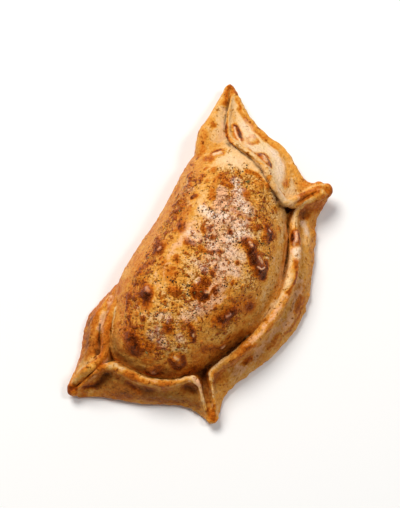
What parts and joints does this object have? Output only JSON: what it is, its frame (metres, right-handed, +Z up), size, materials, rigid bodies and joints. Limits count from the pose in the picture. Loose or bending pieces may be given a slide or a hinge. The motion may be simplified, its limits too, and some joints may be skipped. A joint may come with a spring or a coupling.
{
  "type": "baked empanada",
  "caption": "Half-moon empanada: a filled pastry dome with its curved border folded up into flaps that meet in pinched corners, baked brown and blistered.",
  "frame": {"origin": "middle of the bounding box's underside, where the piece rests", "axes": "+X along the length, from the low corner at the short flap to the corner of the covering flap; +Y from the folded border to the straight fold; +Z up"},
  "size_m": [0.171, 0.0908, 0.038],
  "materials": {
    "empanada": "baked wheat dough with an egg glaze: cream to golden brown, dark blistered spots, satin sheen"
  },
  "bodies": {
    "root": {"empanada": "empanada"}
  },
  "joints": []
}
